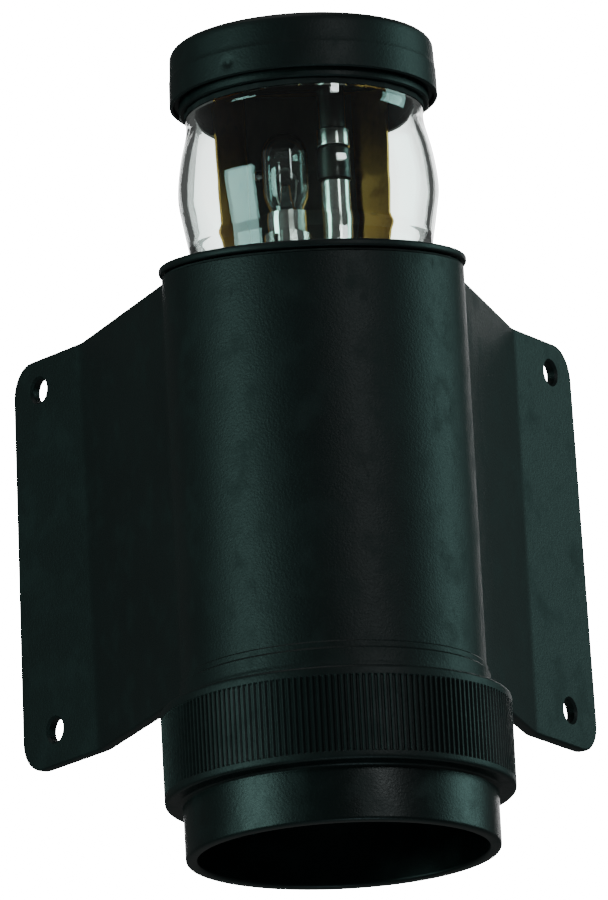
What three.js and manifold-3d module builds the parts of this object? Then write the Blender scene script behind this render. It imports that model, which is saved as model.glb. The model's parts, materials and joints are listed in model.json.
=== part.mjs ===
// A mast-mounted boat light: a masthead (steaming) light on top of a moulded housing, and a deck
// floodlight under it behind a knurled screw ring. Two wings carry the flanges that hold it to a mast.
// Millimetres, +Z up, front towards -Y, mast towards +Y.
import * as THREE from 'three';
import { mergeVertices } from 'three/addons/utils/BufferGeometryUtils.js';
import Module from 'manifold-3d';

const wasm = await Module();
wasm.setup();

// ---------------------------------------------------------------- driving dimensions
// Heights are measured up the light's own axis from the lower lip of the screw ring.
const seatDepth = 68;          // from the axis back to the line between the two columns of screw holes
const seatHeight = 81.2;       // height of the middle of the four screw holes
const turnSides = 32;          // sides of a large round
const topTilt = 6.5;           // degrees: the housing's top is lower at the front than at the back

const housing = {
  radius: 31.2, wall: 2.6, bottom: 33, top: 122.9, tallest: 130,
  bandRadius: 31.9, bandTop: 36.2,        // plain band under the wings
  spigotRadius: 32.1, spigotBottom: 21,   // the screw ring's thread is on the spigot
};
housing.bore = housing.radius - housing.wall;

const wing = {
  bottom: 36.6, top: 124.7, thickness: 2.6,
  foldX: 45.7, foldY: 53.9,               // where the front face folds into the flange
  angle: 71.5, flangeAngle: 56,           // degrees from +X, in plan
  rootFillet: 12, backFillet: 5, foldRadius: 9,
  flangeTop: 24.2, flangeBottom: 27.2,    // the flange is longer at the bottom than at the top
  cornerRadius: 7, holeRadius: 2.5, holeAlong: 15.4, holeLow: 44.4, holeHigh: 118,
};

const ring = {
  radius: 36, top: 31.5, stepTop: 12.9, stepBottom: 11.9, skirtRadius: 32.3,
  mouth: 29.8, ledge: 15.5, bore: 33.9, ribs: 36, ribDepth: 0.5, knurlBottom: 13.8, knurlTop: 29.6,
};
const ringThread = {
  pitch: 3, root: 32.1, crest: 33.3, nutRoot: 33.9, nutCrest: 32.7, start: 22.3, end: 29.7,
};

const glass = { radius: 32.9, bottom: 15.8, thickness: 3.6 };
const reflector = { rimRadius: 25.2, rim: 22.6, neckRadius: 6.5, neck: 44, top: 52, wall: 1.3 };
const holder = { radius: 9.5, bottom: 55.3, top: 66, pinX: 2.65 };

const base = {
  radius: 31.8, centre: 124.6, thickness: 1.6, cupRadius: 28.1, cupBottom: 111.8, floor: 114.4,
  bore: 26.4,
};
const lensThread = {
  pitch: 2, root: 24.9, crest: 25.9, nutRoot: 26.4, nutCrest: 25.4, start: 117.2, end: 120.6,
};
const lens = {
  spigotBottom: 115.8, spigotTop: 121.6, inner: 22.7, wall: 1.9,
  lowRadius: 25.2, bulgeRadius: 27, bulge: 140.5, topRadius: 24.6, top: 156.8,
};
const cap = {
  bottom: 159.7, top: 172, lowRadius: 27.8, highRadius: 27.4, rimInner: 26.9, recess: 160.5,
  bossRadius: 25.9, bossBottom: 158.1, hollow: 22.6, ceiling: 168.4,
};

const lampX = -4.6;            // the lamp stands left of the axis and the return post right of it
const postX = 5.6;
const lamp = {
  glassRadius: 4.8, neckRadius: 3.5, baseRadius: 4, baseBottom: 122, baseTop: 136.3, tip: 153.2,
  pinHeight: 126.6,
};
const socket = { inner: 4.4, outer: 5, bottom: 114.7, top: 130.4 };
const plunger = { bottom: 119.2, top: 120.6, radius: 3.9 };
const post = {
  radius: 3.1, sleeveTop: 142.5, collarRadius: 3.5, collarTop: 149.4, capTop: 153.4,
  rodRadius: 2.9, top: 166,
};
const shield = {
  backY: 17.6, halfWidth: 12.2, wingX: 18.6, wingY: 10.6, sheet: 0.6, top: 166,
  backingBottom: 116.6, backingTop: 165, rivetHeight: 149,
};
const block = { front: 11, back: 22.7, bottom: 84, top: 96, halfWidth: 12.6, pitch: 8 };
const grommet = { height: 104.5, hole: 5.2, bore: 3.6, flange: 8 };
const wireRadius = 0.95;

// ---------------------------------------------------------------- shape helpers
const radians = THREE.MathUtils.degToRad;
const at = (x, y) => new THREE.Vector2(x, y);
const heading = (degrees) => at(Math.cos(radians(degrees)), Math.sin(radians(degrees)));
const angleOf = (vector) => THREE.MathUtils.radToDeg(Math.atan2(vector.y, vector.x));

function toSolid(geometry) {
  const bare = geometry.clone();
  bare.deleteAttribute('normal');
  bare.deleteAttribute('uv');
  const merged = mergeVertices(bare, 1e-4);
  return new wasm.Manifold(new wasm.Mesh({
    numProp: 3,
    vertProperties: merged.attributes.position.array,
    triVerts: new Uint32Array(merged.index.array),
  }));
}

function toGeometry(solid) {
  const mesh = solid.getMesh();
  const geometry = new THREE.BufferGeometry();
  geometry.setAttribute('position', new THREE.BufferAttribute(mesh.vertProperties, 3));
  geometry.setIndex(new THREE.BufferAttribute(mesh.triVerts, 1));
  geometry.computeVertexNormals();
  return geometry;
}

const cut = (body, ...tools) => toGeometry(
  tools.reduce((left, tool) => left.subtract(toSolid(tool)), toSolid(body)));
const join = (body, ...others) => toGeometry(
  others.reduce((whole, other) => whole.add(toSolid(other)), toSolid(body)));

// A solid of revolution about Z. The profile lists [radius, height] with the outside on the way up.
function turned(profile, sides = turnSides) {
  const points = profile.map(([r, z]) => at(r, z));
  if (profile[0][0] > 0) points.push(points[0].clone());
  return new THREE.LatheGeometry(points, sides).rotateX(Math.PI / 2);
}

const tube = (inner, outer, z0, z1, sides) => turned(
  [[outer, z0], [outer, z1], [inner, z1], [inner, z0]], sides);
const disc = (radius, z0, z1, sides = 24) => turned([[0, z0], [radius, z0], [radius, z1], [0, z1]],
  sides);
const prism = (points, z0, z1) => new THREE.ExtrudeGeometry(
  new THREE.Shape(points), { depth: z1 - z0, bevelEnabled: false }).translate(0, 0, z0);
const boxOf = (x0, x1, y0, y1, z0, z1) => new THREE.BoxGeometry(x1 - x0, y1 - y0, z1 - z0)
  .translate((x0 + x1) / 2, (y0 + y1) / 2, (z0 + z1) / 2);

// Lays a shape made about Z, with its foot at the origin, down so that it points to +Y from (x, y, z).
const pointingBack = (geometry, x, y, z) => geometry.rotateX(-Math.PI / 2).translate(x, y, z);

// Points along an arc, angles in degrees, both ends included.
function arc(cx, cy, radius, from, to, steps) {
  return Array.from({ length: steps + 1 }, (_, i) => {
    const angle = radians(from + ((to - from) * i) / steps);
    return at(cx + radius * Math.cos(angle), cy + radius * Math.sin(angle));
  });
}

// A helical ridge of trapezoid section, wider at its root radius than at its crest.
function helicalRidge(root, crest, pitch, from, to) {
  const sidesPerTurn = 20;
  const rootHalf = pitch * 0.26;
  const crestHalf = pitch * 0.1;
  const steps = Math.round(((to - from) / pitch) * sidesPerTurn);
  const positions = [];
  for (let i = 0; i <= steps; i++) {
    const angle = (2 * Math.PI * i) / sidesPerTurn;
    const z = from + (pitch * i) / sidesPerTurn;
    const section = [[root, -rootHalf], [crest, -crestHalf], [crest, crestHalf], [root, rootHalf]];
    for (const [r, dz] of section) positions.push(r * Math.cos(angle), r * Math.sin(angle), z + dz);
  }
  const index = [];
  const outward = crest > root;
  const face = (a, b, c) => (outward ? index.push(a, b, c) : index.push(a, c, b));
  for (let i = 0; i < steps; i++) {
    for (let k = 0; k < 4; k++) {
      const a = 4 * i + k;
      const b = 4 * i + ((k + 1) % 4);
      face(a, a + 4, b);
      face(b, a + 4, b + 4);
    }
  }
  const last = 4 * steps;
  face(0, 1, 2);
  face(0, 2, 3);
  face(last, last + 2, last + 1);
  face(last, last + 3, last + 2);
  const geometry = new THREE.BufferGeometry();
  geometry.setAttribute('position', new THREE.Float32BufferAttribute(positions, 3));
  geometry.setIndex(index);
  return geometry;
}

// A round bar of the given radius along a curve.
function roundBar(path, radius, sides, steps) {
  const section = new THREE.Shape(arc(0, 0, radius, 0, 360 - 360 / sides, sides - 1));
  return new THREE.ExtrudeGeometry(section, { steps, extrudePath: path, bevelEnabled: false });
}

// A round wire along a smooth curve through the given points.
function wire(points, radius = wireRadius, steps = 14) {
  const path = new THREE.CatmullRomCurve3(points.map((p) => new THREE.Vector3(...p)), false,
    'centripetal');
  return roundBar(path, radius, 6, steps);
}

// A coil about the Z axis, or one level arc of it where it doesn't rise. Angles in degrees.
class Coil extends THREE.Curve {
  constructor(radius, low, high, from, to) {
    super();
    Object.assign(this, { radius, low, high, from, to });
  }

  getPoint(t, target = new THREE.Vector3()) {
    const angle = radians(this.from + (this.to - this.from) * t);
    const height = this.low + (this.high - this.low) * t;
    return target.set(this.radius * Math.cos(angle), this.radius * Math.sin(angle), height);
  }
}

// ---------------------------------------------------------------- materials
const finish = (color, roughness, metalness = 0, extra = {}) => new THREE.MeshStandardMaterial(
  { color, roughness, metalness, ...extra });
const materials = {
  blackPlastic: finish(0x141a1b, 0.5),
  blackRubber: finish(0x101213, 0.85),
  clearPlastic: finish(0xdfeae6, 0.08, 0, { transparent: true, opacity: 0.3 }),
  clearGlass: finish(0xe9f1ef, 0.04, 0, { transparent: true, opacity: 0.3 }),
  brass: finish(0xb97a3a, 0.3, 1),
  nickel: finish(0xc4c3ba, 0.25, 1),
  stainless: finish(0xb9bcbd, 0.3, 1),
  phenolic: finish(0x1d1a18, 0.6),
  ceramic: finish(0xe6e0d2, 0.6),
  mirror: finish(0xd8dade, 0.06, 1),
  tungsten: finish(0x55514c, 0.4, 1),
  redWire: finish(0xa32420, 0.5),
  blackWire: finish(0x1a1a1b, 0.5),
  paleNylon: finish(0xd9d8d0, 0.55),
};

const light = new THREE.Group();
light.position.set(0, -seatDepth, -seatHeight);

function add(name, geometry, material, x = 0) {
  const mesh = new THREE.Mesh(geometry, materials[material]);
  mesh.name = name;
  mesh.position.x = x;
  light.add(mesh);
}

// ---------------------------------------------------------------- housing with wings and flanges
// The centre of a fillet that rolls on a circle about the axis and on a line, on the side of normal.
function filletCentre(point, along, normal, circleRadius, fillet) {
  const start = point.clone().addScaledVector(normal, fillet);
  const middle = start.dot(along);
  const reach = Math.sqrt(middle ** 2 - start.lengthSq() + (circleRadius + fillet) ** 2);
  return start.addScaledVector(along, reach - middle);
}

// The right half of the housing's plan outline, from the front of the barrel round to its back.
function halfOutline() {
  const along = heading(wing.angle);
  const out = heading(wing.angle - 90);
  const flangeAlong = heading(wing.flangeAngle);
  const flangeOut = heading(wing.flangeAngle - 90);
  const fold = at(wing.foldX, wing.foldY);
  const frontRoot = filletCentre(fold, along, out, housing.radius, wing.rootFillet);
  const inner = fold.clone().addScaledVector(out, -wing.thickness);
  const backRoot = filletCentre(inner, along, out.clone().negate(), housing.radius, wing.backFillet);
  const halfTurn = (wing.angle - wing.flangeAngle) / 2;
  const bend = fold.clone().addScaledVector(
    heading(wing.angle - halfTurn - 90), wing.foldRadius / Math.cos(radians(halfTurn)));
  const tip = fold.clone().addScaledVector(flangeAlong, wing.flangeBottom + 2);
  const tipInner = tip.clone().addScaledVector(flangeOut, -wing.thickness);
  return [
    ...arc(0, 0, housing.radius, -90, angleOf(frontRoot), 16),
    ...arc(frontRoot.x, frontRoot.y, wing.rootFillet, angleOf(frontRoot) + 180, wing.angle + 90,
    5).slice(1),
    ...arc(bend.x, bend.y, wing.foldRadius, wing.angle + 90, wing.flangeAngle + 90, 3),
    tip,
    tipInner,
    ...arc(bend.x, bend.y, wing.foldRadius + wing.thickness, wing.flangeAngle + 90, wing.angle + 90, 3),
    ...arc(backRoot.x, backRoot.y, wing.backFillet, wing.angle - 90, angleOf(backRoot) - 180, 4),
    ...arc(0, 0, housing.radius, angleOf(backRoot), 90, 7).slice(1),
  ];
}

function mirrored(geometry) {
  const copy = geometry.index ? geometry.clone() : mergeVertices(geometry);
  copy.scale(-1, 1, 1);
  const index = copy.index.array;
  for (let i = 0; i < index.length; i += 3) [index[i + 1], index[i + 2]] = [index[i + 2], index[i + 1]];
  return copy;
}

// Turns a tool made along +X, with the fold at the origin, on to the right (1) or left (-1) flange.
function placedOnFlange(geometry, side) {
  geometry.rotateZ(radians(wing.flangeAngle)).translate(wing.foldX, wing.foldY, 0);
  return side > 0 ? geometry : mirrored(geometry);
}

// Takes away what lies outside the flange's own outline: its sloping edge and its two round corners.
function flangeTrimmer(side) {
  const r = wing.cornerRadius;
  const slope = (wing.flangeBottom - wing.flangeTop) / (wing.top - wing.bottom);
  const edge = (z) => wing.flangeBottom - slope * (z - wing.bottom);
  const low = wing.bottom + r;
  const high = wing.top - r;
  const keep = [
    at(0, wing.bottom - 1),
    at(edge(low) - r, wing.bottom - 1),
    ...arc(edge(low) - r, low, r, -90, 0, 5),
    ...arc(edge(high) - r, high, r, 0, 90, 5),
    at(edge(high) - r, wing.top + 1),
    at(0, wing.top + 1),
  ];
  const half = 8;
  const upright = (points) => new THREE.ExtrudeGeometry(
    new THREE.Shape(points), { depth: 2 * half, bevelEnabled: false })
    .rotateX(Math.PI / 2)
    .translate(0, half, 0);
  const whole = upright([at(6, 20), at(45, 20), at(45, 140), at(6, 140)]);
  return placedOnFlange(cut(whole, upright(keep)), side);
}

// A round slug standing on the housing's tilted top, its lower face at the given height on the axis.
const tiltedSlug = (radius, from, height, sides) => disc(radius, 0, height, sides)
  .rotateX(radians(topTilt))
  .translate(0, 0, from);

const bossRadius = 20;
const bossAngles = [270, 10, 170];
const aroundBosses = (make) => bossAngles.map((angle) => make()
  .translate(bossRadius * Math.cos(radians(angle)), bossRadius * Math.sin(radians(angle)), 0));

function makeHousing() {
  const right = halfOutline();
  const left = right.slice(1, -1).map((p) => at(-p.x, p.y)).reverse();
  const wings = prism([...right, ...left], wing.bottom, wing.top);
  const barrel = turned([
    [0, housing.spigotBottom], [housing.spigotRadius, housing.spigotBottom],
    [housing.spigotRadius, housing.bottom], [housing.bandRadius, housing.bottom],
    [housing.bandRadius, housing.bandTop], [housing.radius, housing.bandTop + 0.4],
    [housing.radius, housing.tallest], [0, housing.tallest],
  ]);
  const bore = disc(housing.bore, 10, 140, turnSides);
  const thread = helicalRidge(
    ringThread.root - 0.4, ringThread.crest, ringThread.pitch, ringThread.start, ringThread.end);
  const blockSeat = boxOf(-7, 7, block.back + 0.3, 29.5, block.bottom, block.top);
  const bosses = aroundBosses(() => disc(3.4, 100, base.cupBottom - 0.3, 12));
  const bossWebs = bossAngles.map((angle) => boxOf(bossRadius, 29.5, -1.6, 1.6, 100,
    base.cupBottom - 0.3)
    .rotateZ(radians(angle)));
  const bossHoles = aroundBosses(() => disc(1.1, 102, 115, 8));
  const cableHole = pointingBack(disc(grommet.hole, 20, 40), 0, 0, grommet.height);
  const flangeTools = [1, -1].flatMap((side) => [
    flangeTrimmer(side),
    ...[wing.holeLow, wing.holeHigh].map((height) => placedOnFlange(
      disc(wing.holeRadius, -8, 8, 20).rotateX(Math.PI / 2).translate(wing.holeAlong, 0, height),
        side)),
  ]);
  const overTop = tiltedSlug(housing.radius + 1, housing.top, 20, turnSides);
  const shell = cut(join(wings, barrel), overTop, bore, cableHole, ...flangeTools);
  return cut(join(shell, thread, blockSeat, ...bosses, ...bossWebs), ...bossHoles);
}
add('housing', makeHousing(), 'blackPlastic');

// ---------------------------------------------------------------- deck floodlight
function makeRing() {
  const { radius, top, stepTop, stepBottom, skirtRadius, mouth, ledge, bore } = ring;
  const body = turned([
    [mouth + 0.6, 0], [skirtRadius - 0.6, 0], [skirtRadius, 0.6], [skirtRadius, stepBottom],
    [radius - 1, stepBottom],
    [radius, stepTop], [radius, top - 0.8], [radius - 0.8, top], [bore, top],
    [bore, ledge], [mouth, ledge], [mouth, 0.6],
  ]);
  const groove = Math.PI * radius / ring.ribs;
  const grooves = Array.from({ length: ring.ribs }, (_, i) => boxOf(
    radius - ring.ribDepth, radius + 1, -groove / 2, groove / 2, ring.knurlBottom, ring.knurlTop)
    .rotateZ((2 * Math.PI * (i + 0.5)) / ring.ribs));
  const halfPitch = ringThread.pitch / 2;
  const thread = helicalRidge(ringThread.nutRoot + 0.4, ringThread.nutCrest, ringThread.pitch,
    ringThread.start + halfPitch, ringThread.end);
  return join(cut(body, ...grooves), thread);
}

function makeReflector() {
  const { rimRadius, rim, neckRadius, neck, top, wall } = reflector;
  const bowl = (inset) => Array.from({ length: 6 }, (_, i) => {
    const share = i / 5;
    const r = (rimRadius - 1.4 - inset) * Math.sqrt(1 - share * 0.93);
    return [Math.max(r, neckRadius - inset), rim + 1.7 + (neck - rim - 1.7) * share];
  });
  return turned([
    [rimRadius, rim], [rimRadius, rim + 1.7], ...bowl(0), [neckRadius, top], [4.5, top], [4.5, neck],
    ...bowl(wall).reverse(), [rimRadius - 1.4 - wall, rim],
  ], 24);
}

const besidePin = (make) => [-1, 1].map((side) => make().translate(side * holder.pinX, 0, 0));
add('deck_light_ring', makeRing(), 'blackPlastic');
add('deck_glass', turned([
  [0, glass.bottom], [glass.radius - 0.5, glass.bottom], [glass.radius, glass.bottom + 0.5],
  [glass.radius, glass.bottom + glass.thickness], [0, glass.bottom + glass.thickness],
]), 'clearGlass');
add('glass_gasket', tube(
  28.9, glass.radius - 1.2, glass.bottom + glass.thickness, housing.spigotBottom - 0.2, 36),
  'blackRubber');
add('lamp_carrier', turned([
  [26.4, 21.3], [28.3, 21.3], [28.3, 29], [26.9, 29], [26.9, 26.3], [24.5, 26.3], [24.5, 24.6],
  [26.4, 24.6],
], 28), 'paleNylon');
add('lamp_clip', roundBar(new Coil(25.75, 21.9, 21.9, 105, 435), 0.45, 5, 30), 'stainless');
add('deck_lamp_reflector', makeReflector(), 'mirror');
add('deck_lamp_cover', disc(22.1, reflector.rim + 0.3, reflector.rim + 1.4, 32), 'clearGlass');
add('deck_lamp_plug', cut(disc(4.2, 42, 55, 18), ...besidePin(() => disc(0.95, 48, 60, 8))), 'ceramic');
add('deck_lamp_capsule', turned([
  [0, 27.4], [1.2, 27.6], [3.2, 29.4], [3.8, 32], [3.8, 37], [2.4, 40], [2.4, 41.7], [0, 41.7],
], 14), 'clearGlass');
besidePin(() => disc(0.75, 48.3, 61, 8)).forEach((pin, i) => add(`deck_lamp_pin_${i + 1}`, pin,
  'nickel'));
add('lamp_holder', cut(
  disc(holder.radius, holder.bottom, holder.top, 24), ...besidePin(() => disc(1.1, 50, 62, 10)),
  disc(1.35, 63, 70, 10).translate(5, 0, 0), disc(1.35, 63, 70, 10).translate(-5, 0, 0)), 'ceramic');

// ---------------------------------------------------------------- wiring inside the barrel
const poles = [0, 1, 2].map((pole) => (pole - 1) * block.pitch);
add('terminal_block', cut(
  boxOf(-block.halfWidth, block.halfWidth, block.front, block.back, block.bottom, block.top),
  ...poles.flatMap((x) => [
    disc(1.5, block.bottom - 1, block.top + 1, 10).translate(x, 15.5, 0),
    pointingBack(disc(2.4, 0, 3.2, 12), x, block.front - 0.5, 90),
  ])), 'paleNylon');
poles.forEach((x, i) => add(`terminal_screw_${i + 1}`, cut(
  pointingBack(disc(2.05, 0, 1.8, 12), x, block.front + 0.4, 90),
  boxOf(x - 3, x + 3, block.front, block.front + 0.9, 89.6, 90.4)), 'brass'));
add('masthead_lead_live', wire([
  [-13, -7, 118], [-13, -7, 112], [-12, 1, 106], [-8.6, 13, 102], [-8, 15.5, 98.5],
  [-8, 15.5, 92.6]]), 'redWire');
add('masthead_lead_return', wire([
  [13, -7, 118], [13, -7, 112], [11, 1, 106], [2, 13, 102], [0, 15.5, 98.5], [0, 15.5, 92.6]]),
  'blackWire');
add('deck_lead_return', wire([
  [-5, 0, 63.4], [-5, 0, 69], [-4.5, 6, 75], [-0.8, 14, 79], [0, 15.5, 82], [0, 15.5, 87.4]]),
  'blackWire');
add('deck_lead_live', wire([
  [5, 0, 63.4], [5, 0, 69], [6, 6, 75], [7.8, 14, 79], [8, 15.5, 82], [8, 15.5, 87.4]]), 'redWire');
add('cable_grommet', pointingBack(turned([
  [grommet.bore, 24.6], [grommet.flange - 1, 24.6], [grommet.flange - 1, 26.2],
  [grommet.hole - 0.3, 26.2],
  [grommet.hole - 0.3, 31.6], [grommet.flange, 31.6], [grommet.flange - 0.4, 33],
  [grommet.bore + 0.6, 33.8],
], 20), 0, 0, grommet.height), 'blackRubber');

// ---------------------------------------------------------------- masthead light
const leadHoles = () => [-1, 1].map((side) => disc(1.5, 108, 118, 10).translate(side * 13, -7, 0));
const shieldHoles = () => [-1, 1].map((side) => disc(0.9, 108, 118, 8).translate(side * 8, 14, 0));
const buttonHole = () => disc(2, 108, 118, 12).translate(lampX, 0, 0);

function makeBase() {
  const half = base.thickness / 2;
  const flange = turned([
    [0, -half], [base.radius - 0.6, -half], [base.radius, -half + 0.6], [base.radius, half - 0.6],
    [base.radius - 0.7, half], [0, half],
  ]).rotateX(radians(topTilt)).translate(0, 0, base.centre);
  const cup = cut(disc(base.cupRadius, base.cupBottom, 135, turnSides),
    tiltedSlug(45, base.centre, 30, 8));
  const thread = helicalRidge(lensThread.nutRoot + 0.4, lensThread.nutCrest, lensThread.pitch,
    lensThread.start - lensThread.pitch / 2, lensThread.end);
  const screwHoles = aroundBosses(() => disc(1.5, 108, 118, 10));
  const well = disc(base.bore, base.floor, 140, turnSides);
  return join(
    cut(join(flange, cup), well, ...leadHoles(), ...shieldHoles(), ...screwHoles, buttonHole()),
      thread);
}
add('masthead_base', makeBase(), 'blackPlastic');
add('base_gasket', tube(28.7, 30.9, 0.2, 0.6, 36)
  .rotateX(radians(topTilt)).translate(0, 0, housing.top), 'blackRubber');
aroundBosses(() => cut(turned([
  [0, 104], [0.9, 104.8], [0.9, base.floor], [2, base.floor + 0.02], [1.7, base.floor + 1.1],
  [0, base.floor + 1.2],
], 12), boxOf(-3, 3, -0.3, 0.3, base.floor + 0.7, base.floor + 3)))
  .forEach((screw, i) => add(`base_screw_${i + 1}`, screw, 'stainless'));

// The lens is a shell of even thickness that bulges between its threaded foot and its open top.
function makeLens() {
  const low = lens.spigotTop + 7;
  const bulgeGrowth = lens.bulgeRadius - lens.lowRadius;
  const up = [0.25, 0.5, 0.75, 1].map((share) => [
    lens.lowRadius + bulgeGrowth * Math.sin((share * Math.PI) / 2), low + (lens.bulge - low) * share]);
  const bulgeFall = lens.topRadius - lens.bulgeRadius;
  const on = [0.25, 0.5, 0.75, 1].map((share) => [
    lens.bulgeRadius + (bulgeFall * (1 - Math.cos(share * Math.PI))) / 2,
    lens.bulge + (lens.top - lens.bulge) * share]);
  const inside = [...up, ...on].map(([r, z]) => [r - lens.wall, z]).reverse();
  const body = turned([
    [lens.inner, lens.spigotBottom], [lensThread.root, lens.spigotBottom],
    [lensThread.root, lens.spigotTop],
    [lens.lowRadius, lens.spigotTop], [lens.lowRadius, low], ...up, ...on, ...inside, [lens.inner, low],
  ]);
  return join(body, helicalRidge(
    lensThread.root - 0.4, lensThread.crest, lensThread.pitch, lensThread.start, lensThread.end));
}
add('masthead_lens', makeLens(), 'clearPlastic');
add('lens_seal', tube(22.9, 24.7, base.floor + 0.3, lens.spigotBottom - 0.3, 28), 'blackRubber');
add('cap_gasket', tube(22.7, 24.9, lens.top + 0.1, cap.bossBottom - 0.1, 28), 'blackRubber');
add('masthead_cap', turned([
  [0, cap.ceiling], [cap.hollow, cap.ceiling], [cap.hollow, cap.bossBottom],
  [cap.bossRadius, cap.bossBottom],
  [cap.bossRadius, cap.recess], [cap.rimInner, cap.recess], [cap.rimInner, cap.bottom],
  [cap.lowRadius - 0.4, cap.bottom], [cap.lowRadius, cap.bottom + 0.4], [cap.highRadius, cap.top - 2.2],
  [cap.highRadius - 0.7, cap.top - 0.7], [cap.highRadius - 2.2, cap.top], [0, cap.top],
]), 'blackPlastic');

// ---------------------------------------------------------------- light shield round the back of the lamp
const rivetHoles = () => [-1, 1].map((side) => pointingBack(
  disc(0.9, 0, 6, 8), side * 9, 14, shield.rivetHeight));

function makeShield() {
  const { backY, halfWidth, wingX, wingY, sheet, top } = shield;
  const plan = [
    at(-wingX, wingY), at(-halfWidth, backY), at(halfWidth, backY), at(wingX, wingY),
    at(wingX + 0.45, wingY + 0.4), at(halfWidth + 0.3, backY + sheet),
    at(-halfWidth - 0.3, backY + sheet), at(-wingX - 0.45, wingY + 0.4),
  ];
  const foot = cut(boxOf(-10, 10, 11.6, backY + sheet / 2, base.floor, base.floor + sheet),
    ...shieldHoles());
  return cut(join(prism(plan, base.floor, top), foot), ...rivetHoles());
}
add('light_shield', makeShield(), 'brass');
add('shield_backing', cut(
  boxOf(-11.4, 11.4, 16.2, shield.backY - 0.3, shield.backingBottom, shield.backingTop),
  ...rivetHoles()), 'phenolic');
[-1, 1].forEach((side, i) => {
  add(`backing_rivet_${i + 1}`, pointingBack(turned([
    [0, 0.8], [1.1, 1], [1.6, 1.5], [1.6, 1.9], [0.75, 1.9], [0.75, 4.5], [1.3, 4.5], [0.9, 5],
    [0, 5.1],
  ], 10), side * 9, 14, shield.rivetHeight), 'nickel');
  const seat = base.floor + shield.sheet + 0.02;
  const slot = boxOf(side * 8 - 2, side * 8 + 2, 13.75, 14.25, base.floor + 1.2, base.floor + 3);
  add(`shield_screw_${i + 1}`, cut(turned([
    [0, 111], [0.75, 111.2], [0.75, seat], [1.7, seat], [1.5, base.floor + 1.5], [0, base.floor + 1.7],
  ], 10).translate(side * 8, 14, 0), slot), 'stainless');
});

// ---------------------------------------------------------------- bayonet socket and lamp
// Each slot runs down from the socket's mouth, a fifth of a turn round, and up into a notch.
function bayonetSlot(turn) {
  const span = (z0, z1) => boxOf(socket.inner - 1, socket.outer + 1.2, -0.9, 0.9, z0, z1);
  const floor = lamp.pinHeight - 3.2;
  const run = [0, 10, 20, 30].map((angle) => span(floor, floor + 2).rotateZ(radians(angle)));
  return [
    span(floor, socket.top + 1),
    ...run,
    span(floor, lamp.pinHeight + 0.9).rotateZ(radians(30)),
  ].map((tool) => tool.rotateZ(radians(turn)));
}
add('socket_shell', cut(turned([
  [socket.inner, socket.bottom], [6.4, socket.bottom], [6.4, socket.bottom + 0.8],
  [socket.outer, socket.bottom + 0.8],
  [socket.outer, socket.top], [socket.inner, socket.top],
], 20), ...bayonetSlot(60), ...bayonetSlot(240)), 'nickel', lampX);
add('socket_insulator', cut(
  disc(4.1, socket.bottom, socket.bottom + 1, 20), disc(1.6, 110, 120, 10)), 'phenolic', lampX);
add('contact_spring', roundBar(
  new Coil(2.5, socket.bottom + 1.6, plunger.bottom - 0.6, 0, 720), 0.3, 5, 26), 'stainless', lampX);
add('contact_plunger', tube(1.7, plunger.radius, plunger.bottom, plunger.top, 20), 'phenolic', lampX);
add('contact_button', disc(1.4, socket.bottom + 0.6, plunger.top + 0.2, 14), 'brass', lampX);

// The outline of the lamp's glass, drawn in by the given amount, from its neck up to its crown.
function glassOutline(wall) {
  const { glassRadius, neckRadius, baseTop, tip } = lamp;
  const shoulder = baseTop + 3.5;
  const crown = tip - glassRadius;
  return [
    [neckRadius - wall, baseTop - 2], [neckRadius - wall, baseTop], [glassRadius - wall, shoulder],
    ...arc(0, crown, glassRadius - wall, 0, 75, 5).map((p) => [p.x, p.y]), [0, tip - wall],
  ];
}
add('lamp_glass', turned([...glassOutline(0.5).reverse(), ...glassOutline(0)], 16), 'clearGlass',
  lampX);
add('lamp_base', join(turned([
  [2.2, lamp.baseBottom], [lamp.baseRadius - 0.8, lamp.baseBottom],
  [lamp.baseRadius, lamp.baseBottom + 0.8],
  [lamp.baseRadius, lamp.baseTop - 0.4], [lamp.baseRadius - 0.3, lamp.baseTop - 0.4],
  [lamp.baseRadius - 0.3, lamp.baseBottom + 1.2], [2.2, lamp.baseBottom + 1.2],
], 24), ...[90, 270].map((angle) => disc(0.6, lamp.baseRadius - 0.2, lamp.baseRadius + 1, 8)
  .rotateY(Math.PI / 2)
  .translate(0, 0, lamp.pinHeight).rotateZ(radians(angle)))), 'nickel', lampX);
add('lamp_contact', turned([
  [0, plunger.top + 0.5], [1.3, plunger.top + 0.7], [1.9, lamp.baseBottom],
  [1.9, lamp.baseBottom + 2], [0, lamp.baseBottom + 2],
], 14), 'nickel', lampX);
add('lamp_stem', turned([
  [0, 133], [2.6, 133], [2.4, 136], [1.3, 139], [0.9, 142], [0, 142],
], 12), 'clearGlass', lampX);
add('lamp_filament', wire([
  [-2.3, 0, 140.4], [-2.4, 0, 143.5], [-2.2, 0, 146.4], [-1.1, 0.4, 147], [0, 0, 147.2],
  [1.1, -0.4, 147],
  [2.2, 0, 146.4],
  [2.4, 0, 143.5], [2.3, 0, 140.4],
], 0.25, 18), 'tungsten', lampX);

// ---------------------------------------------------------------- return post
add('return_post', turned([
  [0, base.floor + 0.1], [post.radius, base.floor + 0.1],
  [post.radius, post.sleeveTop], [1.5, post.sleeveTop], [1.5, post.capTop - 1], [0, post.capTop - 1],
], 20), 'nickel', postX);
add('post_insulator', tube(1.8, post.collarRadius, post.sleeveTop + 0.3, post.collarTop, 20),
  'phenolic', postX);
add('post_cap', turned([
  [1.8, post.collarTop + 0.3], [post.collarRadius, post.collarTop + 0.3],
  [post.collarRadius, post.capTop - 0.6],
  [post.rodRadius, post.capTop], [post.rodRadius, post.top - 0.5],
  [post.rodRadius - 0.5, post.top], [0, post.top],
  [0, post.capTop - 0.7], [1.8, post.capTop - 0.7],
], 20), 'nickel', postX);

export default light;
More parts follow.
